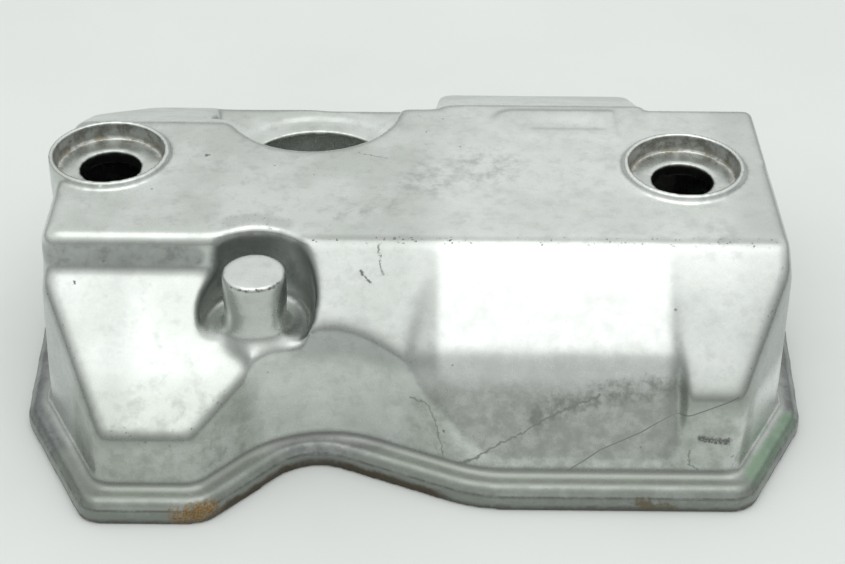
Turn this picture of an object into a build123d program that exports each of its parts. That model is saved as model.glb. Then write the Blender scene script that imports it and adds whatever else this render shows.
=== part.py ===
from build123d import *
import math
import os

# Single-cylinder engine valve cover: one die casting, open underneath, on its flange face.
# Millimetres. Origin at the bottom centre of the cover, +X along its length, +Z up off
# the gasket face, front (the stepped side with the lobe) towards -Y.

# ---- driving dimensions -------------------------------------------------------------
LENGTH = 161.8        # over the ears beside the bolt seats
WIDTH = 117.8         # over the lobe and the rear edge
TOP_Z = 44.25         # top deck above the gasket face
WALL = 3.0            # casting wall
DRAFT = 1.0           # draft of the side walls, degrees
EAR_OUT = 1.5         # how far the ears stand out from the ends
END_X = LENGTH / 2 - EAR_OUT
HALF_Y = WIDTH / 2
FRONT_IN = 4.8        # how far the right part of the front edge stays behind the lobe

# flange outline, anticlockwise: sharp corner x, y and the radius it is rounded to
NOTCH = (-21.6, -HALF_Y + 19.6, 11.5)    # the concave corner, tight against the scoop
REAR_RIGHT = (END_X, HALF_Y - 22.9, 10.0)
FLANGE_CORNERS = [
    (-END_X, -HALF_Y + 29.2, 8.0),
    (-END_X + 15.5, -HALF_Y, 5.0),
    (-40.2, -HALF_Y, 8.0),
    NOTCH,
    (12.2, -HALF_Y + FRONT_IN + 0.1, 30.0),
    (END_X - 13.6, -HALF_Y + FRONT_IN, 6.0),
    (END_X - 0.2, -HALF_Y + 29.5, 8.0),
    REAR_RIGHT,
    (END_X - 13.4, HALF_Y, 8.0),
    (-END_X + 13.4, HALF_Y, 8.0),
    (-END_X, HALF_Y - 22.9, 10.0),
]
FLANGE_EAR = (END_X + 1.6, 2.0, 60.0)    # corner and rounding of the ears
EDGE_BAND = 3.3       # height of the flat edge of the flange
BEAD_STEP = 0.8       # how far the rolled bead sits in from the edge
BEAD_TOP = 5.4        # height of the bead
BEAD_R = 1.9          # rounding of the bead
WALL_IN = 4.8         # foot of the wall in from the flange edge
FOOT_R = 1.8          # rounding at the root of the walls
NOTCH_WALL_R = 24.0   # rounding of the wall at the notch
SHARP_BELOW = 12.0    # wall corners under this radius are rounded after the faces are cut
REAR_RIGHT_IN = 1.3   # how far the right wall closes in towards the rear

# front of the deck and the faces that fall from it
DECK_FRONT_Y = -24.6
LOBE_EDGE_Y = -HALF_Y + 6.0    # front edge of the sloped lobe
LOBE_EDGE_Z = 18.0
LOBE_SLOPE = 33.0
LOBE_LEAN_IN = 2.3    # lean of the lobe's left wall over the height of the cover
LEFT_R = 3.0          # rounding of the left part, the lobe and its step included
SPLIT_X = -32.1       # lobe to the left of this, main body to the right
FACE_SLOPE = 43.0     # faces beside the scoop and on the right
FACE_FOOT_Y = -HALF_Y + FRONT_IN + WALL_IN
FACE_LOW_Y = FACE_FOOT_Y + 2.1
RECESS_SLOPE = 46.5   # recessed middle panel
RECESS_LOW_Y = -40.0
RECESS_TOP_X = (4.0, 48.6)     # recess sides at the deck edge
RECESS_LOW_X = (-0.4, 51.2)    # and where the recess is deepest
RECESS_FOOT_X = (3.0, 52.0)    # and at the foot of the wall
RECESS_FOOT_Z = 8.5   # height at which the recess runs out into the wall

# rear of the deck
DECK_REAR_Y = 26.7
DECK_REAR_STEEP_Y = 25.2
DECK_REAR_LEFT_Y = 18.6
REAR_SLOPE = 25.7
REAR_STEEP = 39.0
REAR_PANEL_X = (4.4, 49.4)
RIGHT_R = 2.2         # rounding of the right part
OUTER_EDGE_R = 2.0    # rounding of its outer front edge
PANEL_R = 1.6         # rounding of the raised rear panel

# clearance scoop with its stub
STUB_X = -31.0
STUB_Y = -32.7
STUB_R = 6.25
STUB_TOP_Z = 42.0
STUB_FLARE = 1.5      # flare of its foot
STUB_EDGE = 0.4       # bevel of its top edge
SCOOP_R = 11.2
SCOOP_TAPER = 1.5
SCOOP_FLOOR_Z = 28.5
SCOOP_ROOT = 1.0      # bevel at the root of the pocket

# bolt seats, each a ring round a counterbored bolt hole
SEATS = [(-END_X + 15.8, 4.1), (END_X - 24.5, 1.2)]
SEAT_TOP_Z = 46.0
SEAT_R = 12.5
SEAT_BORE_R = 11.36
SEAT_DEPTH = 4.08
SEAT_FLOOR = 3.2
SEAT_HOLE_R = 6.25
SEAT_RING_EDGE = 0.35  # bevel of the ring's top edges
SEAT_BOSS_WALL = 3.2  # metal round the counterbore underneath
SEAT_SKIRT_Z = 35.0   # below this the overhanging side of the left seat tapers in
SEAT_NECK_Z = 26.0
SEAT_NECK_R = 9.3

# plug well
WELL_X = -22.4
WELL_Y = 27.0
WELL_TOP_R = 18.4
WELL_R = 17.6
WELL_DECK_Z = 28.0
WELL_LIP_R = 22.6     # shallow step in the low deck round the hole
WELL_LIP = 1.5
WELL_DECK_X = (-46.0, -4.6)

# shallow pad cast on the deck
PAD_X = (15.4, 42.5)
PAD_Y = (12.5, 25.0)
PAD_H = 0.4
PAD_R = 5.5
PAD_SINK_X = (24.0, 40.4)
PAD_SINK_Y = (16.4, 20.6)

# gasket groove
GROOVE_IN = 2.2
GROOVE_W = 2.6
GROOVE_D = 2.4

FAR = 200.0


def tan(angle):
    return math.tan(math.radians(angle))


def outline(corners, inset, sharp_below=0.0):
    """Face inside a rounded outline moved inwards; small corners may be left sharp."""
    count = len(corners)
    lines = []
    for i in range(count):
        ax, ay, _ = corners[i]
        bx, by, _ = corners[(i + 1) % count]
        length = math.hypot(bx - ax, by - ay)
        ux, uy = (bx - ax) / length, (by - ay) / length
        lines.append((ax - uy * inset, ay + ux * inset, ux, uy))
    points = []
    radii = []
    for i in range(count):
        px, py, ux, uy = lines[i - 1]
        qx, qy, vx, vy = lines[i]
        cross = ux * vy - uy * vx
        along = ((qx - px) * vy - (qy - py) * vx) / cross
        points.append(Vector(px + ux * along, py + uy * along, 0))
        radius = corners[i][2]
        radius = radius - inset if cross > 0 else radius + inset
        radii.append(radius)
    face = make_face(Polyline(*points, close=True))
    for point, radius in zip(points, radii):
        if radius > sharp_below:
            face = fillet(face.vertices().sort_by_distance(point)[0], radius)
    return face


def flange(inset):
    bx, by, br = FLANGE_EAR
    corners = [(-bx, by, br)] + FLANGE_CORNERS
    corners.insert(corners.index(REAR_RIGHT), (bx, by, br))
    return outline(corners, inset)


def walls(inset, height):
    """Drafted block inside the walls, from the gasket face up, its small corners sharp."""
    corners = list(FLANGE_CORNERS)
    x, y, _ = NOTCH
    corners[corners.index(NOTCH)] = (x, y, NOTCH_WALL_R - WALL_IN)
    x, y, r = REAR_RIGHT
    corners[corners.index(REAR_RIGHT)] = (x - REAR_RIGHT_IN, y, r)
    return extrude(outline(corners, WALL_IN + inset, SHARP_BELOW), height, taper=DRAFT)


FACE_LOW_Z = TOP_Z - (DECK_FRONT_Y - FACE_LOW_Y) * tan(FACE_SLOPE)


def beyond(point, normal):
    """Everything on the outer side of a plane through a point."""
    plane = Plane(origin=point, z_dir=normal)
    return plane * Pos(0, 0, FAR) * Box(2 * FAR, 2 * FAR, 2 * FAR)


def slab(x0=-FAR, x1=FAR, y0=-FAR, y1=FAR, z0=-10, z1=FAR):
    centre = Pos((x0 + x1) / 2, (y0 + y1) / 2, (z0 + z1) / 2)
    return centre * Box(x1 - x0, y1 - y0, z1 - z0)


def fall(edge_y, edge_z, slope, forward, inset):
    """Space above a face falling from an edge, to the front (-1) or the rear (+1)."""
    rise = math.cos(math.radians(slope))
    run = math.sin(math.radians(slope)) * forward
    point = (0, edge_y - run * inset, edge_z - rise * inset)
    return beyond(point, (0, run, rise))


def lean(top_y, top_z, foot_y, foot_z, inset):
    """Space in front of a wall that leans back from its foot."""
    dy = top_y - foot_y
    dz = top_z - foot_z
    length = math.hypot(dy, dz)
    point = (0, foot_y + inset * dz / length, foot_z - inset * dy / length)
    return beyond(point, (0, -dz, dy))


def upright_side(corner_a, corner_b, inset, slant):
    """Everything outside a leaning wall over one straight side of the outline."""
    ax, ay, _ = corner_a
    bx, by, _ = corner_b
    length = math.hypot(bx - ax, by - ay)
    nx, ny = (by - ay) / length, -(bx - ax) / length
    back = WALL_IN + inset
    return beyond((ax - nx * back, ay - ny * back, BEAD_TOP), (nx, ny, slant))


def left_part(inset):
    """Everything left of the split: the step and the sloped lobe in front of it."""
    t = inset
    body = walls(t, TOP_Z - t) & slab(x1=SPLIT_X)
    body -= fall(LOBE_EDGE_Y, LOBE_EDGE_Z, LOBE_SLOPE, -1, t) & slab(y1=DECK_FRONT_Y + t)
    body -= upright_side(*FLANGE_CORNERS[:2], t, LOBE_LEAN_IN / (TOP_Z - BEAD_TOP))
    body -= fall(DECK_REAR_LEFT_Y, TOP_Z, REAR_SLOPE, 1, t)
    return body


def middle_part(inset):
    """Between the split and the axis of the plug well."""
    t = inset
    body = walls(t, TOP_Z - t) & slab(x0=SPLIT_X, x1=WELL_X)
    body -= fall(DECK_FRONT_Y, TOP_Z, FACE_SLOPE, -1, t)
    body -= fall(DECK_REAR_LEFT_Y, TOP_Z, REAR_SLOPE, 1, t)
    return body


def right_part(inset):
    """Right of the axis of the plug well, without the recess and the rear panel."""
    t = inset
    body = walls(t, TOP_Z - t) & slab(x0=WELL_X)
    body -= fall(DECK_FRONT_Y, TOP_Z, FACE_SLOPE, -1, t)
    body -= lean(FACE_LOW_Y, FACE_LOW_Z, FACE_FOOT_Y, BEAD_TOP, t)
    body -= fall(DECK_REAR_STEEP_Y, TOP_Z, REAR_STEEP, 1, t)
    return body


def rear_panel(inset):
    """The raised panel on the steep rear face."""
    t = inset
    x0, x1 = REAR_PANEL_X
    body = walls(t, TOP_Z - t) & slab(x0=x0 + t, x1=x1 - t, y0=DECK_REAR_Y - 6)
    return body - fall(DECK_REAR_Y, TOP_Z, REAR_SLOPE, 1, t)


def rear_ledge(inset):
    """The low deck carried on along the rear as far as the panel."""
    t = inset
    x1 = REAR_PANEL_X[0]
    return walls(t, WELL_DECK_Z - t) & slab(x0=WELL_X, x1=x1 + t, y0=WELL_Y + WELL_R)


def recess_room(inset):
    """What the recessed middle panel takes out of the front faces."""
    t = inset
    low_z = TOP_Z - (DECK_FRONT_Y - RECESS_LOW_Y) * tan(RECESS_SLOPE)
    back = (FACE_LOW_Y - FACE_FOOT_Y) / (FACE_LOW_Z - BEAD_TOP)
    foot_y = FACE_FOOT_Y + (RECESS_FOOT_Z - BEAD_TOP) * back
    room = fall(DECK_FRONT_Y, TOP_Z, RECESS_SLOPE, -1, t)
    room += lean(RECESS_LOW_Y, low_z, foot_y, RECESS_FOOT_Z, t)
    room &= slab(y1=0)
    for side in (0, 1):
        a = Vector(RECESS_TOP_X[side], DECK_FRONT_Y, TOP_Z)
        b = Vector(RECESS_LOW_X[side], RECESS_LOW_Y, low_z)
        c = Vector(RECESS_FOOT_X[side], foot_y, RECESS_FOOT_Z)
        normal = (b - a).cross(c - a).normalized()
        if (normal.X > 0) != (side == 1):
            normal = normal * -1
        room -= beyond(tuple(a + normal * t), tuple(normal))
    return room


def well_room(inset):
    """Open space over the plug hole, the step round it and the low deck behind it."""
    t = inset
    x0, x1 = WELL_DECK_X
    floor_z = WELL_DECK_Z - WELL_LIP - t
    deck = slab(x0=x0 - t, x1=x1 + t, y0=WELL_Y - t, z0=WELL_DECK_Z - t)
    step = Pos(WELL_X, WELL_Y, floor_z) * extrude(Circle(WELL_LIP_R + t), FAR)
    step &= slab(x0=x0 - t, x1=x1 + t, y0=WELL_Y - t)
    shaft = Pos(WELL_X, WELL_Y, floor_z) * extrude(Circle(WELL_TOP_R + t), FAR)
    return shaft + deck + step


def scoop_room(inset):
    """Round pocket sunk through the front edge of the deck."""
    height = TOP_Z - SCOOP_FLOOR_Z + inset + 10
    room = extrude(Circle(SCOOP_R + inset), height, taper=-SCOOP_TAPER)
    if inset == 0:
        room = chamfer(room.edges().group_by(Axis.Z)[0], SCOOP_ROOT)
    return Pos(STUB_X, STUB_Y, SCOOP_FLOOR_Z - inset) * room


def stub():
    """Plain round stub standing in the scoop."""
    length = STUB_TOP_Z - SCOOP_FLOOR_Z
    low = (Align.CENTER, Align.CENTER, Align.MIN)
    body = Cylinder(STUB_R, length, align=low)
    body = chamfer(body.edges().group_by(Axis.Z)[-1], STUB_EDGE)
    body += Cone(STUB_R + STUB_FLARE, STUB_R, STUB_FLARE, align=low)
    body += Pos(0, 0, -WALL / 2) * Cylinder(STUB_R + STUB_FLARE, WALL / 2, align=low)
    return Pos(STUB_X, STUB_Y, SCOOP_FLOOR_Z) * body & walls(0, TOP_Z)


def free_edges(body, x_low, x_high):
    """Edges of a part that are neither on its foot nor on a plane it is joined at."""
    found = []
    for edge in body.edges():
        box = edge.bounding_box()
        joined = box.min.X > x_high - 0.05 or box.max.X < x_low + 0.05
        if box.max.Z > 0.5 and not joined:
            found.append(edge)
    return found


def slanting(edges, x_min):
    """The long edges that fall forwards down the front beyond x_min."""
    found = []
    for edge in edges:
        box = edge.bounding_box()
        steep = box.size.Z / edge.length
        if box.min.X > x_min and box.max.Y < 0 and edge.length > 15 and 0.3 < steep < 0.85:
            found.append(edge)
    return found


def outer_form():
    """The outside of the cover above the flange, its edges rounded."""
    left = left_part(0)
    left = fillet(free_edges(left, -FAR, SPLIT_X), LEFT_R)
    middle = middle_part(0)
    middle = fillet(free_edges(middle, SPLIT_X, WELL_X), RIGHT_R)
    right = right_part(0)
    edges = free_edges(right, WELL_X, FAR)
    crease = [e for e in edges if e.geom_type == GeomType.ELLIPSE and e.length > 15
              and e.bounding_box().max.Y < FACE_LOW_Y + 1]
    held = crease + slanting(edges, RECESS_FOOT_X[1])
    right = fillet([e for e in edges if e not in held], RIGHT_R)
    right = fillet(slanting(right.edges(), RECESS_FOOT_X[1]), OUTER_EDGE_R)
    panel = rear_panel(0)
    edges = free_edges(panel, -FAR, FAR)
    edges = [e for e in edges if e.bounding_box().max.Y > DECK_REAR_Y - 5.9]
    panel = fillet(edges, PANEL_R)
    ledge = rear_ledge(0)
    edge = ledge.edges().group_by(Axis.Z)[-1].sort_by(Axis.Y)[-1]
    ledge = fillet(edge, LEFT_R)
    return left + middle + right + panel + ledge - recess_room(0)


def inner_form():
    """The hollow that leaves the casting wall all round."""
    hollow = left_part(WALL) + middle_part(WALL) + right_part(WALL)
    hollow += rear_panel(WALL) + rear_ledge(WALL)
    return hollow - recess_room(WALL) - well_room(WALL) - scoop_room(WALL)


def rim():
    """Flange: a flat edge band with a rolled bead on it."""
    bead = extrude(flange(BEAD_STEP), BEAD_TOP)
    bead = fillet(bead.edges().group_by(Axis.Z)[-1], BEAD_R)
    return extrude(flange(0), EDGE_BAND) + bead


def groove():
    ring = extrude(flange(GROOVE_IN), GROOVE_D)
    return ring - extrude(flange(GROOVE_IN + GROOVE_W), GROOVE_D)


def seat(x, y, overhang):
    """Ring round a bolt hole, tapering in below where it overhangs the wall."""
    low_z = SEAT_SKIRT_Z if overhang else TOP_Z - WALL / 2
    ring = Pos(0, 0, low_z) * extrude(Circle(SEAT_R), SEAT_TOP_Z - low_z)
    ring = chamfer(ring.edges().group_by(Axis.Z)[-1], SEAT_RING_EDGE)
    if overhang:
        height = SEAT_SKIRT_Z - SEAT_NECK_Z
        cone = Cone(SEAT_NECK_R, SEAT_R, height, align=(Align.CENTER, Align.CENTER, Align.MIN))
        ring += Pos(0, 0, SEAT_NECK_Z) * cone
    return Pos(x, y, 0) * ring


def seat_boss(x, y):
    """Metal left under a bolt seat."""
    low_z = SEAT_TOP_Z - SEAT_DEPTH - SEAT_FLOOR
    return Pos(x, y, low_z) * extrude(Circle(SEAT_BORE_R + SEAT_BOSS_WALL), TOP_Z - low_z)


def seat_bore(x, y):
    """Counterbore and bolt hole."""
    bore = Pos(0, 0, SEAT_TOP_Z - SEAT_DEPTH) * extrude(Circle(SEAT_BORE_R), SEAT_DEPTH + 5)
    hole = extrude(Circle(SEAT_HOLE_R), SEAT_TOP_Z)
    return Pos(x, y, 0) * (bore + hole)


def pad():
    """Shallow pad on the deck with a slightly sunk middle."""
    x0, x1 = PAD_X
    y0, y1 = PAD_Y
    plate = Pos((x0 + x1) / 2, (y0 + y1) / 2, TOP_Z - WALL / 2) * Box(
        x1 - x0, y1 - y0, WALL + 2 * PAD_H)
    plate = fillet(plate.edges().filter_by(Axis.Z).group_by(Axis.X)[0], PAD_R)
    plate = chamfer(plate.edges().group_by(Axis.Z)[-1], PAD_H, 2.5 * PAD_H)
    sx0, sx1 = PAD_SINK_X
    sy0, sy1 = PAD_SINK_Y
    sink = Pos((sx0 + sx1) / 2, (sy0 + sy1) / 2, TOP_Z + PAD_H) * Box(
        sx1 - sx0, sy1 - sy0, PAD_H)
    return plate - sink


def rounded_foot(body):
    """Rounds the root between the walls and the bead."""
    flat = Pos(0, 0, BEAD_TOP) * flange(BEAD_STEP + BEAD_R + 0.1)
    foot = []
    for edge in body.edges():
        box = edge.bounding_box()
        level = abs(box.min.Z - BEAD_TOP) < 0.05 and abs(box.max.Z - BEAD_TOP) < 0.05
        if level and flat.is_inside(edge @ 0.5, 0.01):
            foot.append(edge)
    return fillet(foot, FOOT_R)


cover = rounded_foot(rim() + outer_form())
for n, (x, y) in enumerate(SEATS):
    cover += seat(x, y, n == 0)
cover += pad()
cover -= well_room(0)
cover -= scoop_room(0)
cover += stub()

tube_r = WELL_R + WALL
hollow = inner_form()
hollow -= Pos(WELL_X, WELL_Y, 0) * extrude(Circle(tube_r), TOP_Z)
for x, y in SEATS:
    hollow -= seat_boss(x, y)
cover -= hollow
for x, y in SEATS:
    cover -= seat_bore(x, y)
cover -= Pos(WELL_X, WELL_Y, 0) * extrude(Circle(WELL_R), TOP_Z)
cover -= groove()
cover.label = "valve_cover"

os.makedirs("parts", exist_ok=True)
export_step(cover, "parts/valve_cover.step")
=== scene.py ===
import math

import bmesh
import bpy
import numpy as np
from bpy.props import FloatProperty, FloatVectorProperty, IntProperty, PointerProperty
from mathutils import Matrix, Vector


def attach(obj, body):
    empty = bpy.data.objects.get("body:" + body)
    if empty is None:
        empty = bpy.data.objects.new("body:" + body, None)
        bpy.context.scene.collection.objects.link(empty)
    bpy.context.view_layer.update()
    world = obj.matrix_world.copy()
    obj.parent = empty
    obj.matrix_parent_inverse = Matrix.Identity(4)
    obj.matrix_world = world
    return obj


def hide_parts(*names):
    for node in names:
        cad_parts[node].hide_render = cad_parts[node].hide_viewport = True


bl_info = {
    "name": "Engine valve cover",
    "version": (1, 0, 0),
    "blender": (4, 5, 0),
    "location": "View3D > Sidebar > Valve cover",
    "description": "Builds the finished look of a cast aluminium engine valve cover",
    "category": "Object",
}


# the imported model, and its box before anything is added
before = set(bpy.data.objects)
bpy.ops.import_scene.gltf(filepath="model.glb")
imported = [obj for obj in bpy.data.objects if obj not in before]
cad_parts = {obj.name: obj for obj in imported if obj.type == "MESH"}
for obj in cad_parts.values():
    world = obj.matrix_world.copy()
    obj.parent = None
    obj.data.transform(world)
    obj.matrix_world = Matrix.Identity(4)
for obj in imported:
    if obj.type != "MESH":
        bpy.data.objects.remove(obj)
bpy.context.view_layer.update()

NODE = "valve_cover"
MM = 0.001

# places on the casting, in millimetres, that its masks and its mesh share
DECK_Z = 44.2
SEATS = ((-63.6, 4.1), (54.9, 1.2))
SEAT_BORE_R = 11.36
SEAT_FLOOR_Z = 41.92
SEAT_LIP_Z = 45.6        # just below the top of the seat rings
SEAT_HOLE_R = 6.25
STUB = (-31.0, -32.7, 42.0)
STUB_R = 6.25
SCOOP_R = 11.2
WELL = (-22.4, 27.0, 26.5)
WELL_R = 17.6
SEAM_Z = 3.35            # line between the flange's flat edge and its bead

# softening left on the flange and on its gasket face, both below a height, and on the raised
# pad, beyond a corner
FLANGE_Z, FLANGE_SOFT = 7.0, 0.45
GASKET_Z, GASKET_SOFT = 4.5, 0.2
PAD_CORNER, PAD_SOFT = (10.0, 5.0, 43.5), 0.15

# and round the bolt seats, the stub and the plug well: centre, radius, low and high height,
# share left
CRISP = (
    (SEATS[0], 14.5, 37.0, math.inf, 0.08),
    (SEATS[1], 14.5, 37.0, math.inf, 0.08),
    (STUB[:2], STUB_R + 2.0, 35.0, math.inf, 0.2),
    (WELL[:2], WELL_R + 4.0, -math.inf, 29.0, 0.2),
)

# what lies on the metal, and the painted highlight and shade on it
TONES = {
    "tarnish": (0.42, 0.43, 0.42),
    "polished": (0.86, 0.88, 0.86),
    "dulled": (0.36, 0.375, 0.36),
    "speck": (0.12, 0.12, 0.115),
    "line": (0.07, 0.065, 0.06),
    "dent": (0.08, 0.075, 0.07),
    "smudge": (0.25, 0.26, 0.25),
    "tide": (0.17, 0.19, 0.165),
    "edge shade": (0.22, 0.23, 0.22),
    "edge speck": (0.05, 0.048, 0.045),
    "chip": (0.06, 0.055, 0.05),
    "bore grime and shade": (0.16, 0.16, 0.135),
    "hole shade": (0.085, 0.10, 0.085),
    "seat floor shade": (0.40, 0.41, 0.385),
    "seat stain": (0.30, 0.27, 0.20),
    "well shade": (0.30, 0.305, 0.27),
    "pocket": (0.13, 0.135, 0.135),
    "flange": (0.17, 0.18, 0.178),
    "root": (0.09, 0.09, 0.085),
    "low wall shade": (0.27, 0.30, 0.255),
    "foot": (0.075, 0.07, 0.06),
    "oil": (0.045, 0.032, 0.014),
    "light rust": (0.29, 0.17, 0.04),
    "dark rust": (0.12, 0.07, 0.022),
    "brown": (0.10, 0.072, 0.03),
    "stain": (0.055, 0.055, 0.05),
    "paint": (0.24, 0.42, 0.25),
}

# areas polished or dulled in use, partly real wear and partly painted highlight and shade: low
# corner, high corner, soft border, share, tone
AREAS = (
    ((-22.0, -42.0, 27.0), (2.5, -26.5, 42.5), 4.0, 0.74, "dulled"),
    ((51.0, -48.0, 22.0), (80.0, -27.0, 42.0), 3.0, 0.70, "dulled"),
    ((6.0, -45.0, 24.5), (48.0, -27.0, 42.5), 2.5, 0.80, "polished"),
    ((8.0, -24.0, 44.0), (78.0, 60.0, 47.0), 12.0, 0.40, "polished"),
    ((-80.0, -56.0, 17.0), (-58.0, -26.0, 37.0), 6.0, 0.42, "dulled"),
    ((-58.0, -56.0, 17.0), (-34.0, -26.0, 37.0), 4.0, 0.26, "dulled"),
    # this one lightens the wall below the recessed panel: a painted reflection
    ((9.0, -49.0, 8.0), (47.0, -40.0, 23.0), 3.0, 0.68, "polished"),
    ((66.0, -42.0, 24.0), (82.0, 60.0, 44.0), 6.0, 0.30, "dulled"),
    ((64.0, -56.0, 7.0), (82.0, 60.0, 16.0), 4.0, 0.80, "polished"),
    ((-38.0, -40.0, 41.7), (-24.0, -25.0, 46.0), 0.5, 0.35, "polished"),
)

# depth counts for little in a mark on an uneven wall, so the mark can't miss the wall
FLAT = (1.0, 0.06, 1.0)

# straight scratch that climbs the front wall to the right
SCRATCH = ((30.2, -49.2, 6.6), (36.3, -47.9, 10.7), (44.0, -46.5, 13.9),
           (55.0, -47.6, 20.0), (62.2, -47.1, 23.1))

# thin dark lines on the walls, then on the deck: points, half width, soft border, share
WALL_LINES = (
    (((8.7, -47.3, 6.4), (12.9, -48.4, 9.0), (14.9, -47.9, 10.7), (18.7, -47.2, 12.4),
      (22.6, -46.1, 14.6), (28.3, -44.8, 17.6), (36.0, -43.3, 20.7)), 0.08, 0.26, 0.75),
    (((-0.8, -42.7, 19.1), (2.1, -44.0, 18.9), (3.7, -44.7, 16.5), (5.1, -45.5, 10.8),
      (5.7, -45.8, 7.2)), 0.05, 0.22, 0.6),
    (((53.7, -48.6, 11.2), (53.6, -49.0, 8.2), (55.4, -49.1, 7.2)), 0.05, 0.22, 0.6),
)
DECK_LINES = (
    (((-7.3, -25.3, 43.6), (-6.9, -27.5, 41.6), (-6.5, -29.9, 39.3)), 0.05, 0.30, 0.6),
    (((-10.6, -29.4, 39.8), (-9.6, -30.4, 38.8), (-8.8, -31.1, 38.2)), 0.10, 0.36, 0.8),
    (((-12.3, 6.7, DECK_Z), (-6.0, 4.8, DECK_Z)), 0.05, 0.12, 0.7),
)

# round dark dents: centre, radius
DENTS = (
    ((1.9, 15.3, DECK_Z), 0.35), ((2.1, 10.5, DECK_Z), 0.3), ((9.0, 9.4, DECK_Z), 0.3),
    ((5.7, 20.7, DECK_Z), 0.35), ((-43.6, 5.3, DECK_Z), 0.6), ((-29.0, 1.7, DECK_Z), 0.35),
    ((-20.8, -2.0, DECK_Z), 0.3), ((-61.4, -24.6, 38.2), 0.35), ((-67.1, -27.2, 34.7), 0.4),
    ((50.4, -34.7, 34.8), 0.45), ((5.9, -45.8, 13.3), 0.45), ((62.2, -48.7, 10.1), 0.4),
    ((62.4, -48.9, 7.9), 0.35),
)

# grey smudges on the deck: short strokes from point to point, then clouds by centre,
# radius and soft border
STROKES = (
    ((-15.0, -18.4, DECK_Z), (-12.8, -13.0, DECK_Z)),
    ((-10.6, -16.2, DECK_Z), (-7.4, -10.4, DECK_Z)),
    ((-5.4, -14.4, DECK_Z), (-2.3, -9.0, DECK_Z)),
)
CLOUDS = (
    ((14.0, 1.5, DECK_Z), 3.0, 8.0),
    ((3.0, -3.0, DECK_Z), 2.0, 7.0),
    ((58.9, -24.0, 44.0), 1.0, 5.0),
)

# dried tide line low on the recessed panel, and a dark stain on the wall beside it
TIDE = ((22.6, -46.1, 15.4), (29.0, -44.8, 19.0), (38.0, -43.3, 21.2), (50.0, -42.9, 22.4))
STAIN = ((55.8, -48.3, 14.0), (61.0, -48.3, 13.3))

# edges in front with dark specks and a band of painted shade along them: start, end, half
# width, soft border
EDGE_MARKS = (
    ((-36.8, -19.6, DECK_Z), (-31.5, -17.9, DECK_Z), 0.6, 2.0),
    ((-31.5, -17.9, DECK_Z), (-25.7, -19.9, DECK_Z), 0.6, 2.0),
    ((-24.0, -24.6, DECK_Z), (70.0, -24.6, DECK_Z), 0.2, 1.6),
    ((-59.8, -53.1, 17.3), (-43.6, -53.5, 17.1), 0.6, 2.2),
    ((-43.6, -53.5, 17.1), (-33.6, -44.0, 22.9), 0.4, 2.0),
    ((-60.9, -52.4, 17.6), (-73.0, -27.8, 33.4), 0.3, 1.8),
    ((63.2, -47.2, 23.2), (72.9, -28.0, 41.2), 0.2, 2.0),
)

# the camera stands where the photograph's did: place in metres, tilt in degrees, roll in
# radians
CAMERA_PLACE = (0.0014, -0.325, 0.25025)
CAMERA_TILT = 54.23
CAMERA_ROLL = 0.009
SENSOR_WIDTH = 36.0


def shown(name, points, faces):
    """Links a mesh made from plain points and faces."""
    mesh = bpy.data.meshes.new(name)
    mesh.from_pydata(points, [], faces)
    mesh.update()
    obj = bpy.data.objects.new(name, mesh)
    bpy.context.scene.collection.objects.link(obj)
    return obj


# ---- node helpers --------------------------------------------------------------------
class Graph:
    """A node tree with short calls for the nodes that the groups below share."""

    def __init__(self, tree):
        self.tree = tree

    def node(self, kind, **values):
        node = self.tree.nodes.new(kind)
        for key, value in values.items():
            setattr(node, key, value)
        return node

    def put(self, socket, value):
        if isinstance(value, bpy.types.NodeSocket):
            self.tree.links.new(value, socket)
        else:
            socket.default_value = value

    def math(self, operation, *values, clamp=False):
        node = self.node("ShaderNodeMath", operation=operation, use_clamp=clamp)
        for socket, value in zip(node.inputs, values):
            self.put(socket, value)
        return node.outputs[0]

    def vector(self, operation, *values):
        node = self.node("ShaderNodeVectorMath", operation=operation)
        for socket, value in zip(node.inputs, values):
            self.put(socket, value)
        if operation in {"DOT_PRODUCT", "LENGTH", "DISTANCE"}:
            return node.outputs["Value"]
        return node.outputs["Vector"]

    def times(self, *values):
        result = values[0]
        for value in values[1:]:
            result = self.math("MULTIPLY", result, value)
        return result

    def apart(self, vector):
        """The components of a vector."""
        node = self.node("ShaderNodeSeparateXYZ")
        self.put(node.inputs[0], vector)
        return node.outputs

    def hypotenuse(self, a, b):
        return self.math("SQRT", self.math("ADD", self.times(a, a), self.times(b, b)))

    def scale(self, vector, factor):
        node = self.node("ShaderNodeVectorMath", operation="SCALE")
        self.put(node.inputs[0], vector)
        self.put(node.inputs["Scale"], factor)
        return node.outputs["Vector"]

    def step(self, value, low, high, a=0.0, b=1.0):
        """Smooth change from a to b while value goes from low to high."""
        node = self.node("ShaderNodeMapRange", interpolation_type="SMOOTHSTEP")
        self.put(node.inputs["Value"], value)
        self.put(node.inputs["From Min"], low)
        self.put(node.inputs["From Max"], high)
        self.put(node.inputs["To Min"], a)
        self.put(node.inputs["To Max"], b)
        return node.outputs["Result"]

    def noise(self, vector, scale, detail=3.0, rough=0.55):
        node = self.node("ShaderNodeTexNoise")
        self.put(node.inputs["Vector"], vector)
        self.put(node.inputs["Scale"], scale)
        self.put(node.inputs["Detail"], detail)
        self.put(node.inputs["Roughness"], rough)
        return node.outputs[0]

    def mix(self, factor, a, b):
        node = self.node("ShaderNodeMix", data_type="RGBA")
        self.put(node.inputs["Factor"], factor)
        self.put(node.inputs["A"], a)
        self.put(node.inputs["B"], b)
        return node.outputs["Result"]

    def group(self, tree, **values):
        node = self.node("ShaderNodeGroup", node_tree=tree)
        for key, value in values.items():
            self.put(node.inputs[key], value)
        return node.outputs[0]

    def largest_of(self, a, b):
        """Largest component of two vectors."""
        return self.largest(list(self.apart(self.vector("MAXIMUM", a, b))))

    def largest(self, values):
        result = values[0]
        for value in values[1:]:
            result = self.math("MAXIMUM", result, value)
        return result


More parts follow.
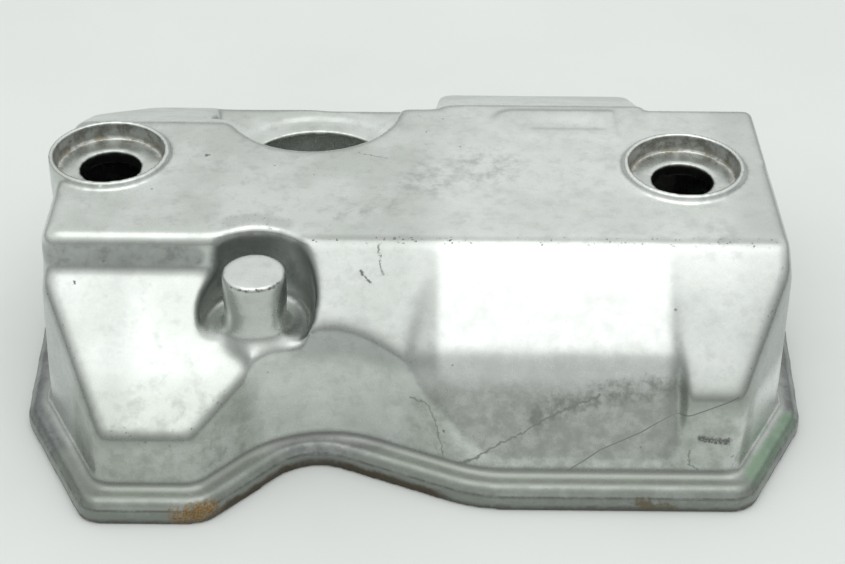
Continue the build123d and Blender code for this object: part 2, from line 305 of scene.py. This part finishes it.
def new_group(name, inputs, output):
    """Node group with the given inputs and one value output."""
    tree = bpy.data.node_groups.new(name, "ShaderNodeTree")
    for label, kind in inputs:
        tree.interface.new_socket(name=label, in_out="INPUT", socket_type=kind)
    tree.interface.new_socket(name=output, in_out="OUTPUT", socket_type="NodeSocketFloat")
    graph = Graph(tree)
    source = graph.node("NodeGroupInput")
    sink = graph.node("NodeGroupOutput")
    return tree, graph, source.outputs, sink.inputs[0]


def line_group():
    """Mask along a straight line between two points."""
    inputs = (("P", "NodeSocketVector"), ("A", "NodeSocketVector"), ("B", "NodeSocketVector"),
              ("Width", "NodeSocketFloat"), ("Soft", "NodeSocketFloat"))
    tree, g, given, out = new_group("line_mark", inputs, "Mask")
    along = g.vector("SUBTRACT", given["B"], given["A"])
    away = g.vector("SUBTRACT", given["P"], given["A"])
    reach = g.vector("DOT_PRODUCT", away, along)
    share = g.math("DIVIDE", reach, g.vector("DOT_PRODUCT", along, along), clamp=True)
    off = g.vector("SUBTRACT", away, g.scale(along, share))
    far = g.math("ADD", given["Width"], given["Soft"])
    g.put(out, g.step(g.vector("LENGTH", off), given["Width"], far, 1.0, 0.0))
    return tree


def spot_group():
    """Mask round a point."""
    inputs = (("P", "NodeSocketVector"), ("Centre", "NodeSocketVector"),
              ("Radius", "NodeSocketFloat"), ("Soft", "NodeSocketFloat"))
    tree, g, given, out = new_group("spot_mark", inputs, "Mask")
    off = g.vector("DISTANCE", given["P"], given["Centre"])
    far = g.math("ADD", given["Radius"], given["Soft"])
    g.put(out, g.step(off, given["Radius"], far, 1.0, 0.0))
    return tree


def ring_group():
    """Mask along a level circle."""
    inputs = (("P", "NodeSocketVector"), ("Centre", "NodeSocketVector"),
              ("Radius", "NodeSocketFloat"), ("Width", "NodeSocketFloat"),
              ("Soft", "NodeSocketFloat"))
    tree, g, given, out = new_group("ring_mark", inputs, "Mask")
    x, y, z = g.apart(g.vector("SUBTRACT", given["P"], given["Centre"]))
    off = g.math("SUBTRACT", g.hypotenuse(x, y), given["Radius"])
    far = g.math("ADD", given["Width"], given["Soft"])
    g.put(out, g.step(g.hypotenuse(off, z), given["Width"], far, 1.0, 0.0))
    return tree


def shaft_group():
    """Mask inside an upright cylinder between two heights."""
    inputs = (("P", "NodeSocketVector"), ("Centre", "NodeSocketVector"),
              ("Radius", "NodeSocketFloat"), ("Soft", "NodeSocketFloat"),
              ("Low", "NodeSocketFloat"), ("High", "NodeSocketFloat"))
    tree, g, given, out = new_group("shaft_mark", inputs, "Mask")
    x, y, _ = g.apart(g.vector("SUBTRACT", given["P"], given["Centre"]))
    far = g.math("ADD", given["Radius"], given["Soft"])
    inside = g.step(g.hypotenuse(x, y), given["Radius"], far, 1.0, 0.0)
    height = g.apart(given["P"])[2]
    above = g.math("GREATER_THAN", height, given["Low"])
    below = g.math("LESS_THAN", height, given["High"])
    g.put(out, g.times(inside, above, below))
    return tree


def fleck_group():
    """Scattered small flecks of uneven size."""
    inputs = (("P", "NodeSocketVector"), ("Pitch", "NodeSocketFloat"),
              ("Size", "NodeSocketFloat"), ("Share", "NodeSocketFloat"))
    tree, g, given, out = new_group("flecks", inputs, "Mask")
    cells = g.node("ShaderNodeTexVoronoi", feature="F1")
    g.put(cells.inputs["Vector"], given["P"])
    g.put(cells.inputs["Scale"], g.math("DIVIDE", 1.0, given["Pitch"]))
    tone = g.node("ShaderNodeSeparateColor")
    g.put(tone.inputs[0], cells.outputs["Color"])
    chosen = g.math("LESS_THAN", tone.outputs[0], given["Share"])
    size = g.times(given["Size"], g.math("ADD", 0.4, tone.outputs[1]))
    dot = g.step(cells.outputs["Distance"], g.times(size, 0.6), size, 1.0, 0.0)
    g.put(out, g.times(dot, chosen))
    return tree


def block_group():
    """Mask inside an upright box with soft sides."""
    inputs = (("P", "NodeSocketVector"), ("Low", "NodeSocketVector"),
              ("High", "NodeSocketVector"), ("Soft", "NodeSocketFloat"))
    tree, g, given, out = new_group("block_mark", inputs, "Mask")
    beyond = g.largest_of(g.vector("SUBTRACT", given["Low"], given["P"]),
                          g.vector("SUBTRACT", given["P"], given["High"]))
    g.put(out, g.step(beyond, 0.0, given["Soft"], 1.0, 0.0))
    return tree


GROUPS = {"block": block_group, "line": line_group, "spot": spot_group, "ring": ring_group,
          "shaft": shaft_group, "flecks": fleck_group}


# ---- the casting's finish ------------------------------------------------------------
def flattened(points):
    """Points with their depth shrunk, so that a mark reaches across an uneven wall."""
    return tuple((x, y * FLAT[1], z) for x, y, z in points)


class Finish(Graph):
    """The casting's colour, dirt and painted shade, which each method adds one kind of mark
    to.
    """

    def __init__(self, tree, look):
        super().__init__(tree)
        self.look = look
        self.shared = {name: make() for name, make in GROUPS.items()}
        coords = self.node("ShaderNodeTexCoord")
        self.place = self.scale(coords.outputs["Object"], 1.0 / MM)
        self.x, self.y, self.z = self.apart(self.place)

        # places that wander a little or a lot, for marks with uneven borders
        noise = self.node("ShaderNodeTexNoise")
        self.put(noise.inputs["Vector"], self.place)
        self.put(noise.inputs["Scale"], 0.9)
        wobble = self.vector("SUBTRACT", noise.outputs["Color"], (0.5, 0.5, 0.5))
        self.bent = self.vector("ADD", self.place, self.scale(wobble, 1.6))
        self.loose = self.vector("ADD", self.place, self.scale(wobble, 4.5))

        self.broad = self.noise(self.place, 0.06, 4.0, 0.6)
        self.mottle = self.noise(self.place, 0.35, 5.0, 0.65)
        self.fine = self.noise(self.place, 2.4, 4.0, 0.6)
        self.grain = self.noise(self.place, 7.0, 2.0, 0.5)
        self.colour = None
        self.tarnish = None
        # dirt, with the painted shade in the pockets, bores and foot, which makes the metal
        # rougher and less metallic
        self.dirt = []

    # -- short calls --
    def mark(self, kind, **values):
        return self.group(self.shared[kind], **values)

    def line(self, place, a, b, width, soft):
        return self.mark("line", P=place, A=a, B=b, Width=width, Soft=soft)

    def polyline(self, place, points, width, soft):
        return self.largest([self.line(place, a, b, width, soft)
                             for a, b in zip(points, points[1:])])

    def on_wall(self, place, points, width, soft):
        """Polyline on a wall, whatever its depth there."""
        return self.polyline(self.vector("MULTIPLY", place, FLAT), flattened(points),
                             width, soft)

    def shaft(self, centre, radius, soft, low, high):
        return self.mark("shaft", P=self.place, Centre=(centre[0], centre[1], 0.0),
                         Radius=radius, Soft=soft, Low=low, High=high)

    def in_seats(self, radius, soft, low, high):
        return self.largest([self.shaft(seat, radius, soft, low, high) for seat in SEATS])

    def patchy(self, mask, low, high, a=0.0, b=1.0):
        """The mask, made uneven by the mottling."""
        return self.times(mask, self.step(self.mottle, low, high, a, b))

    def tint(self, mask, tone, share=None):
        """Lays a tone, named or mixed, over the colour."""
        if share is not None:
            mask = self.times(mask, share)
        if isinstance(tone, str):
            tone = TONES[tone] + (1.0,)
        self.colour = self.mix(mask, self.colour, tone)

    # -- the marks, in the order in which they lie on each other --
    def clean_metal(self):
        light, dark = self.look.metal_light[:] + (1.0,), self.look.metal_dark[:] + (1.0,)
        self.colour = self.mix(self.step(self.broad, 0.35, 0.65), dark, light)
        self.tarnish = self.times(self.step(self.mottle, 0.48, 0.72), self.look.mottling)
        self.tint(self.tarnish, "tarnish")
        # polished and dulled areas: partly real wear, partly painted highlight and shade
        for low, high, soft, share, tone in AREAS:
            area = self.mark("block", P=self.place, Low=low, High=high, Soft=soft)
            self.tint(self.patchy(area, 0.30, 0.62, share * 1.15, share * 0.75), tone)
        speck = self.mark("flecks", P=self.place, Pitch=3.6, Size=0.075, Share=0.35)
        self.tint(self.times(speck, self.step(self.broad, 0.45, 0.60)), "speck", 0.6)

    def thin_lines(self):
        lines = [self.times(self.on_wall(self.place, SCRATCH, 0.06, 0.14), 0.8)]
        for points, width, soft, share in WALL_LINES:
            lines.append(self.times(self.on_wall(self.bent, points, width, soft), share))
        for points, width, soft, share in DECK_LINES:
            lines.append(self.times(self.polyline(self.bent, points, width, soft), share))
        thin = self.largest(lines)
        self.tint(thin, "line")
        self.dirt.append(self.times(thin, 0.7))

    def dents(self):
        dents = self.largest([
            self.mark("spot", P=self.bent, Centre=centre, Radius=radius * 0.35,
                      Soft=radius * 0.8)
            for centre, radius in DENTS])
        self.tint(dents, "dent", 0.85)
        self.dirt.append(self.times(dents, 0.7))

    def smudges(self):
        smudge = [self.line(self.bent, a, b, 0.5, 1.3) for a, b in STROKES]
        smudge += [self.mark("spot", P=self.loose, Centre=centre, Radius=radius, Soft=soft)
                   for centre, radius, soft in CLOUDS]
        self.tint(self.patchy(self.largest(smudge), 0.34, 0.66), "smudge", 0.34)
        tide = self.on_wall(self.loose, TIDE, 0.4, 2.6)
        self.tint(self.patchy(tide, 0.36, 0.60, 0.15, 1.0), "tide", 0.62)

    def edge_specks_and_shade(self):
        edge = self.largest([self.line(self.place, *values) for values in EDGE_MARKS])
        flecks = self.mark("flecks", P=self.bent, Pitch=0.9, Size=0.30, Share=0.8)
        specks = self.times(flecks, self.patchy(edge, 0.38, 0.60))
        # a soft dark band along the edges: painted shade
        self.tint(edge, "edge shade", 0.30)
        self.tint(specks, "edge speck", 0.9)
        # the stub's chipped top edge
        chip = self.mark("ring", P=self.bent, Centre=(STUB[0], STUB[1], STUB[2] - 0.5),
                         Radius=STUB_R, Width=0.1, Soft=0.45)
        chip = self.times(chip, self.step(self.noise(self.place, 0.9, 3.0), 0.42, 0.56))
        self.tint(chip, "chip", 0.9)
        self.dirt += [specks, chip]

    def seats_and_well(self):
        # grime and painted shade on the walls of the seat bores
        bores = self.in_seats(SEAT_BORE_R, 0.3, SEAT_FLOOR_Z + 0.25, SEAT_LIP_Z)
        grime = self.patchy(bores, 0.40, 0.62, 0.50, 0.95)
        self.tint(grime, "bore grime and shade")
        self.dirt.append(self.times(grime, 0.6))
        # the bolt holes painted dark: painted shade
        holes = self.in_seats(SEAT_HOLE_R, 0.35, 20.0, SEAT_FLOOR_Z - 0.05)
        self.tint(holes, "hole shade", 0.8)
        # the seat floors darkened in patches: painted shade
        floors = self.in_seats(SEAT_BORE_R, 0.3, SEAT_FLOOR_Z - 0.6, SEAT_FLOOR_Z + 0.25)
        self.tint(self.patchy(floors, 0.30, 0.65, 0.0, 0.3), "seat floor shade")
        corner = self.largest([
            self.mark("ring", P=self.loose, Centre=(x, y, SEAT_FLOOR_Z),
                      Radius=SEAT_BORE_R - 0.4, Width=0.2, Soft=1.4)
            for x, y in SEATS])
        self.tint(self.patchy(corner, 0.40, 0.65, 0.1, 0.8), "seat stain")
        # the walls of the plug well darkened in patches: painted shade
        well = self.shaft(WELL, WELL_R + 0.3, 0.4, -1.0, WELL[2] - 0.3)
        self.tint(self.patchy(well, 0.35, 0.7, 0.05, 0.35), "well shade")

    def tarnish_and_shade_in_pockets(self):
        """Tarnish and painted shade in the scoop round the stub, and under the edge of the
        deck's step.
        """
        on_stub = self.shaft(STUB, STUB_R + 0.3, 0.4, 28.0, 60.0)
        scoop = self.times(self.shaft(STUB, SCOOP_R + 0.9, 0.8, 28.6, 43.2),
                           self.step(self.z, 30.4, 33.2), self.step(self.y, -41.0, -35.5),
                           self.math("SUBTRACT", 1.0, on_stub))
        step = self.line(self.place, (-74.0, -24.8, 39.6), (-44.0, -24.8, 39.6), 1.7, 1.7)
        # the scoop and the strip under the step darkened: partly tarnish, partly painted shade
        dull = self.patchy(self.largest([scoop, step]), 0.30, 0.70, 0.45, 0.85)
        self.tint(dull, "pocket", self.look.pocket_tarnish_and_shade)
        self.dirt.append(self.times(dull, 0.25))

    def foot_grime_and_shade(self):
        """Darker flange and bead, grime and painted shade along the foot, and oil at the
        notch.
        """
        # the flange and its bead darker below 5.2 mm, in patches
        self.tint(self.patchy(self.step(self.z, 5.2, 6.0, 1.0, 0.0), 0.3, 0.65, 0.70, 0.92),
                  "flange")
        # grime and painted shade along the concave foot of the walls, stronger in front and in
        # the middle
        root = self.times(self.step(self.z, 4.85, 5.25), self.step(self.z, 6.2, 7.8, 1.0, 0.0),
                          self.times(self.step(self.y, -10.0, 20.0, 1.0, 0.35),
                                     self.step(self.math("ABSOLUTE", self.x), 59.0, 66.0,
                                               1.0, 0.35)))
        self.tint(root, "root", 0.70)
        # the lower front walls darkened in patches: painted shade
        walls = self.times(self.step(self.z, 20.0, 27.0, 1.0, 0.0),
                           self.step(self.y, -44.0, -41.0, 1.0, 0.0))
        self.tint(self.patchy(walls, 0.35, 0.65, 0.34, 0.60), "low wall shade")

        # a dark foot with an uneven upper border, partly grime and partly a painted contact
        # shadow, and a dark line of painted shade in the step above the flat edge
        unevenness = self.math("SUBTRACT", self.mottle, 0.5)
        uneven_z = self.math("ADD", self.z, self.times(unevenness, 2.6))
        low = self.times(self.step(uneven_z, 0.6, 1.9, 1.0, 0.0),
                         self.step(self.z, 0.05, 0.30, 0.25, 1.0))
        off = self.math("ABSOLUTE", self.math("SUBTRACT", self.z, SEAM_Z))
        seam = self.step(self.math("SUBTRACT", 1.0, off), 0.72, 0.98)
        foot = self.math("MAXIMUM", self.times(low, 0.85),
                         self.patchy(seam, 0.38, 0.6, 0.15, 0.7))
        self.tint(foot, "foot")

        # oil at the notch
        notch = self.line(self.loose, (-34.0, -50.0, 1.6), (-2.0, -47.5, 1.6), 5.5, 6.0)
        oil = self.times(notch, self.step(uneven_z, 1.6, 3.0, 1.0, 0.0), 0.95)
        self.tint(oil, "oil")
        self.dirt += [foot, oil]

    def stains(self):
        """Rust and brown spots on the flange, a stain and green paint on the wall."""
        rust = self.line(self.loose, (-45.0, -58.9, 2.2), (-39.2, -57.5, 2.8), 0.7, 2.2)
        rust = self.patchy(rust, 0.30, 0.48)
        self.tint(rust, self.mix(self.step(self.fine, 0.35, 0.6),
                                 TONES["light rust"] + (1.0,), TONES["dark rust"] + (1.0,)),
                  0.95)
        brown = self.line(self.loose, (44.6, -54.1, 2.2), (49.5, -54.1, 0.9), 0.5, 1.8)
        brown = self.patchy(brown, 0.34, 0.52)
        self.tint(brown, "brown", 0.8)
        stain = self.times(self.on_wall(self.bent, STAIN, 0.35, 0.7),
                           self.step(self.fine, 0.34, 0.56, 0.35, 1.0))
        self.tint(stain, "stain", 0.85)
        paint = self.line(self.bent, (66.6, -48.2, 5.0), (76.7, -30.9, 5.0), 0.9, 1.8)
        haze = self.line(self.bent, (67.2, -41.2, 7.9), (70.8, -34.9, 6.6), 0.2, 1.4)
        self.tint(self.math("MAXIMUM", self.times(paint, 0.42), self.times(haze, 0.35)),
                  "paint")
        self.dirt += [rust, brown, stain]

    def shader(self):
        """Metal where it is clean, and rougher and less metallic under the dirt and the
        painted shade.
        """
        dirt = self.largest(self.dirt)
        shader = self.node("ShaderNodeBsdfPrincipled")
        self.put(shader.inputs["Base Color"], self.colour)
        self.put(shader.inputs["Metallic"], self.math("SUBTRACT", 1.0, self.times(dirt, 0.85)))
        unevenness = self.math("SUBTRACT", self.fine, 0.5)
        rough = self.math("ADD", self.look.roughness, self.times(self.tarnish, 0.10))
        rough = self.math("ADD", rough, self.times(unevenness, 0.16))
        rough = self.math("ADD", rough, self.times(dirt, 0.28), clamp=True)
        self.put(shader.inputs["Roughness"], rough)

        wave = self.noise(self.place, 0.16, 2.0, 0.5)
        height = self.times(wave, 2.2)
        for noise, share in ((self.mottle, 0.35), (self.fine, 0.12), (self.grain, 0.05)):
            height = self.math("ADD", height, self.times(noise, share))
        bump = self.node("ShaderNodeBump")
        self.put(bump.inputs["Strength"], self.look.relief)
        self.put(bump.inputs["Distance"], 0.1 * MM)
        self.put(bump.inputs["Height"], height)
        self.put(shader.inputs["Normal"], bump.outputs["Normal"])
        return shader


def cast_aluminium(look):
    """Die-cast aluminium, brushed clean in use: mottled, scratched, stained and grimy, with
    painted shade and highlight in places.
    """
    material = bpy.data.materials.new("cast_aluminium")
    material.use_nodes = True
    material.node_tree.nodes.clear()
    finish = Finish(material.node_tree, look)
    finish.clean_metal()
    finish.thin_lines()
    finish.dents()
    finish.smudges()
    finish.edge_specks_and_shade()
    finish.seats_and_well()
    finish.tarnish_and_shade_in_pockets()
    finish.foot_grime_and_shade()
    finish.stains()
    sink = finish.node("ShaderNodeOutputMaterial")
    finish.put(sink.inputs["Surface"], finish.shader().outputs["BSDF"])
    return material


def paper():
    """Pale matte surface that the part stands on."""
    material = bpy.data.materials.new("stage_paper")
    material.use_nodes = True
    tree = material.node_tree
    g = Graph(tree)
    shader = tree.nodes["Principled BSDF"]
    coords = g.node("ShaderNodeTexCoord")
    cloud = g.noise(coords.outputs["Object"], 9.0, 4.0, 0.6)
    colour = g.mix(g.step(cloud, 0.3, 0.7), (0.70, 0.72, 0.705, 1.0), (0.73, 0.75, 0.735, 1.0))
    g.put(shader.inputs["Base Color"], colour)
    shader.inputs["Roughness"].default_value = 0.9
    return material


# ---- the casting's mesh --------------------------------------------------------------
def merged_copy(node, name):
    """Watertight copy of a solid, its doubled vertices merged."""
    work = bmesh.new()
    work.from_mesh(node.data)
    bmesh.ops.remove_doubles(work, verts=work.verts, dist=1e-6)
    mesh = bpy.data.meshes.new(name)
    work.to_mesh(mesh)
    work.free()
    obj = bpy.data.objects.new(name, mesh)
    bpy.context.scene.collection.objects.link(obj)
    return obj


def softness(mesh):
    """How much each vertex is softened: cast skin fully, machined seats and faces little."""
    count = len(mesh.vertices)
    co = np.empty(count * 3, np.float32)
    mesh.vertices.foreach_get("co", co)
    x, y, height = (co.reshape(-1, 3) / MM).T
    weight = np.ones(count)
    weight[height < FLANGE_Z] = FLANGE_SOFT
    weight[height < GASKET_Z] = GASKET_SOFT
    pad_x, pad_y, pad_z = PAD_CORNER
    weight[(x > pad_x) & (y > pad_y) & (height > pad_z)] = PAD_SOFT
    for (cx, cy), radius, low, high, share in CRISP:
        inside = np.hypot(x - cx, y - cy) < radius
        weight[inside & (height > low) & (height < high)] = share
    return weight


def apply_modifiers(obj):
    """Gives an object its mesh as its modifiers leave it, in place of both."""
    graph = bpy.context.evaluated_depsgraph_get()
    mesh = bpy.data.meshes.new_from_object(obj.evaluated_get(graph), depsgraph=graph)
    mesh.name = obj.name
    obj.modifiers.clear()
    old = obj.data
    obj.data = mesh
    bpy.data.meshes.remove(old)
    return mesh


def refine(obj, look):
    """Rounds the casting's edges: an even mesh, smoothed, then thinned."""
    even = obj.modifiers.new("even", "REMESH")
    even.mode = "VOXEL"
    even.voxel_size = look.voxel
    mesh = apply_modifiers(obj)
    group = obj.vertex_groups.new(name="soft")
    weight = softness(mesh)
    for value in np.unique(weight):
        group.add(np.flatnonzero(weight == value).tolist(), float(value), "REPLACE")
    soften = obj.modifiers.new("soften", "SMOOTH")
    soften.factor = 0.5
    soften.iterations = look.smoothing
    soften.vertex_group = group.name
    thin = obj.modifiers.new("thin", "DECIMATE")
    thin.ratio = min(1.0, look.triangles / (2.0 * len(mesh.polygons)))
    mesh = apply_modifiers(obj)
    obj.vertex_groups.clear()
    mesh.shade_smooth()


# ---- settings ------------------------------------------------------------------------
class CoverLook(bpy.types.PropertyGroup):
    """Settings of the casting's mesh and metal."""

    voxel: FloatProperty(
        name="Mesh pitch", description="Pitch of the even mesh", default=0.00055,
        min=0.0003, max=0.002, unit="LENGTH")
    smoothing: IntProperty(
        name="Softening", description="Passes that round the cast edges", default=60, min=0)
    triangles: IntProperty(
        name="Triangles", description="Triangles kept in the finished mesh", default=185000,
        min=1000)
    metal_light: FloatVectorProperty(
        name="Light metal", description="Colour of the polished metal", subtype="COLOR",
        default=(0.675, 0.70, 0.675))
    metal_dark: FloatVectorProperty(
        name="Dark metal", description="Colour of the duller metal", subtype="COLOR",
        default=(0.555, 0.58, 0.55))
    mottling: FloatProperty(
        name="Mottling", description="Strength of the tarnished patches", default=0.45,
        min=0.0, max=1.0, subtype="FACTOR")
    pocket_tarnish_and_shade: FloatProperty(
        name="Pocket tarnish and shade", description="Darkening in the scoop and below the step",
        default=0.7, min=0.0, max=1.0, subtype="FACTOR")
    roughness: FloatProperty(
        name="Roughness", description="Roughness of the clean metal", default=0.29,
        min=0.0, max=1.0, subtype="FACTOR")
    relief: FloatProperty(
        name="Relief", description="Strength of the fine cast relief", default=0.35,
        min=0.0, max=1.0, subtype="FACTOR")


class StageLook(bpy.types.PropertyGroup):
    """Settings of the floor, the light and the camera."""

    floor_size: FloatProperty(
        name="Floor", description="Length of the floor's side", default=8.0, min=0.5,
        unit="LENGTH")
    top_power: FloatProperty(
        name="Top light", description="Power of the soft light overhead", default=3.2,
        min=0.0, unit="POWER")
    sky: FloatProperty(
        name="Room light", description="Level of the room's light", default=1.0, min=0.0)
    lens: FloatProperty(
        name="Lens", description="Focal length in millimetres", default=79.74, min=1.0,
        unit="CAMERA")


# ---- operators -----------------------------------------------------------------------
class VALVECOVER_OT_casting(bpy.types.Operator):
    """Builds the casting with its finish"""

    bl_idname = "valvecover.casting"
    bl_label = "Build casting"

    def execute(self, context):
        look = context.scene.cover_look
        piece = merged_copy(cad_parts[NODE], "cast_cover")
        refine(piece, look)
        piece.data.materials.clear()
        piece.data.materials.append(cast_aluminium(look))
        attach(piece, "root")
        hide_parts(NODE)
        return {"FINISHED"}


def room_light(world, level):
    """Soft room: bright overhead, paler behind, darker along the horizon in front."""
    world.use_nodes = True
    tree = world.node_tree
    tree.nodes.clear()
    g = Graph(tree)
    coords = g.node("ShaderNodeTexCoord")
    _, y, z = g.apart(coords.outputs["Generated"])
    horizon = g.step(z, 0.02, 0.14, 0.03, 0.60)
    front = g.math("ADD", horizon, g.times(g.step(z, 0.30, 0.80), 0.59))
    behind = g.math("ADD", 0.30, g.times(g.step(z, -0.05, 0.60), 0.66))
    side = g.step(y, -0.25, 0.45)
    value = g.math("ADD", g.times(front, g.math("SUBTRACT", 1.0, side)),
                   g.times(behind, side))
    glow = g.node("ShaderNodeBackground")
    g.put(glow.inputs["Color"], (0.98, 1.0, 0.99, 1.0))
    g.put(glow.inputs["Strength"], g.times(value, level))
    backdrop = g.node("ShaderNodeBackground")
    g.put(backdrop.inputs["Color"], (0.80, 0.825, 0.80, 1.0))
    path = g.node("ShaderNodeLightPath")
    both = g.node("ShaderNodeMixShader")
    for socket, value in zip(both.inputs, (path.outputs["Is Camera Ray"], glow.outputs[0],
                                           backdrop.outputs[0])):
        g.put(socket, value)
    sink = g.node("ShaderNodeOutputWorld")
    g.put(sink.inputs["Surface"], both.outputs[0])


def soft_light(name, place, target, size, power):
    light = bpy.data.lights.new(name, "AREA")
    light.shape = "RECTANGLE"
    light.size, light.size_y = size
    light.energy = power
    obj = bpy.data.objects.new(name, light)
    aim = (Vector(target) - Vector(place)).to_track_quat("-Z", "Y")
    obj.matrix_world = Matrix.Translation(place) @ aim.to_matrix().to_4x4()
    bpy.context.scene.collection.objects.link(obj)
    return obj


class VALVECOVER_OT_stage(bpy.types.Operator):
    """Sets the floor, the light and the camera"""

    bl_idname = "valvecover.stage"
    bl_label = "Set stage"

    def execute(self, context):
        look = context.scene.stage_look
        half = look.floor_size / 2
        corners = [(-half, -half, 0), (half, -half, 0), (half, half, 0), (-half, half, 0)]
        floor = shown("stage_floor", corners, [(0, 1, 2, 3)])
        floor.data.materials.append(paper())
        top = soft_light("top_light", (0.0, -0.35, 1.3), (0, 0, 0), (1.4, 1.0), look.top_power)
        world = bpy.data.worlds.new("room")
        context.scene.world = world
        room_light(world, look.sky)

        camera = bpy.data.cameras.new("camera")
        camera.lens = look.lens
        camera.sensor_width = SENSOR_WIDTH
        camera.clip_start = 0.01
        obj = bpy.data.objects.new("camera", camera)
        tilt = Matrix.Rotation(math.radians(CAMERA_TILT), 4, "X")
        roll = Matrix.Rotation(CAMERA_ROLL, 4, "Z")
        obj.matrix_world = Matrix.Translation(CAMERA_PLACE) @ tilt @ roll
        context.scene.collection.objects.link(obj)
        context.scene.camera = obj
        context.scene.view_settings.view_transform = "Standard"
        return {"FINISHED"}


class VALVECOVER_PT_panel(bpy.types.Panel):
    """Valve cover settings"""

    bl_idname = "VALVECOVER_PT_panel"
    bl_label = "Valve cover"
    bl_space_type = "VIEW_3D"
    bl_region_type = "UI"
    bl_category = "Valve cover"

    def draw(self, context):
        for settings in (context.scene.cover_look, context.scene.stage_look):
            box = self.layout.box()
            for name in settings.__annotations__:
                box.prop(settings, name)
        self.layout.operator("valvecover.casting")
        self.layout.operator("valvecover.stage")


CLASSES = (CoverLook, StageLook, VALVECOVER_OT_casting, VALVECOVER_OT_stage,
           VALVECOVER_PT_panel)


def register():
    for cls in CLASSES:
        bpy.utils.register_class(cls)
    bpy.types.Scene.cover_look = PointerProperty(type=CoverLook)
    bpy.types.Scene.stage_look = PointerProperty(type=StageLook)


def unregister():
    del bpy.types.Scene.stage_look
    del bpy.types.Scene.cover_look
    for cls in reversed(CLASSES):
        bpy.utils.unregister_class(cls)


def main():
    register()
    bpy.ops.valvecover.casting()
    bpy.ops.valvecover.stage()


if __name__ == "__main__":
    main()
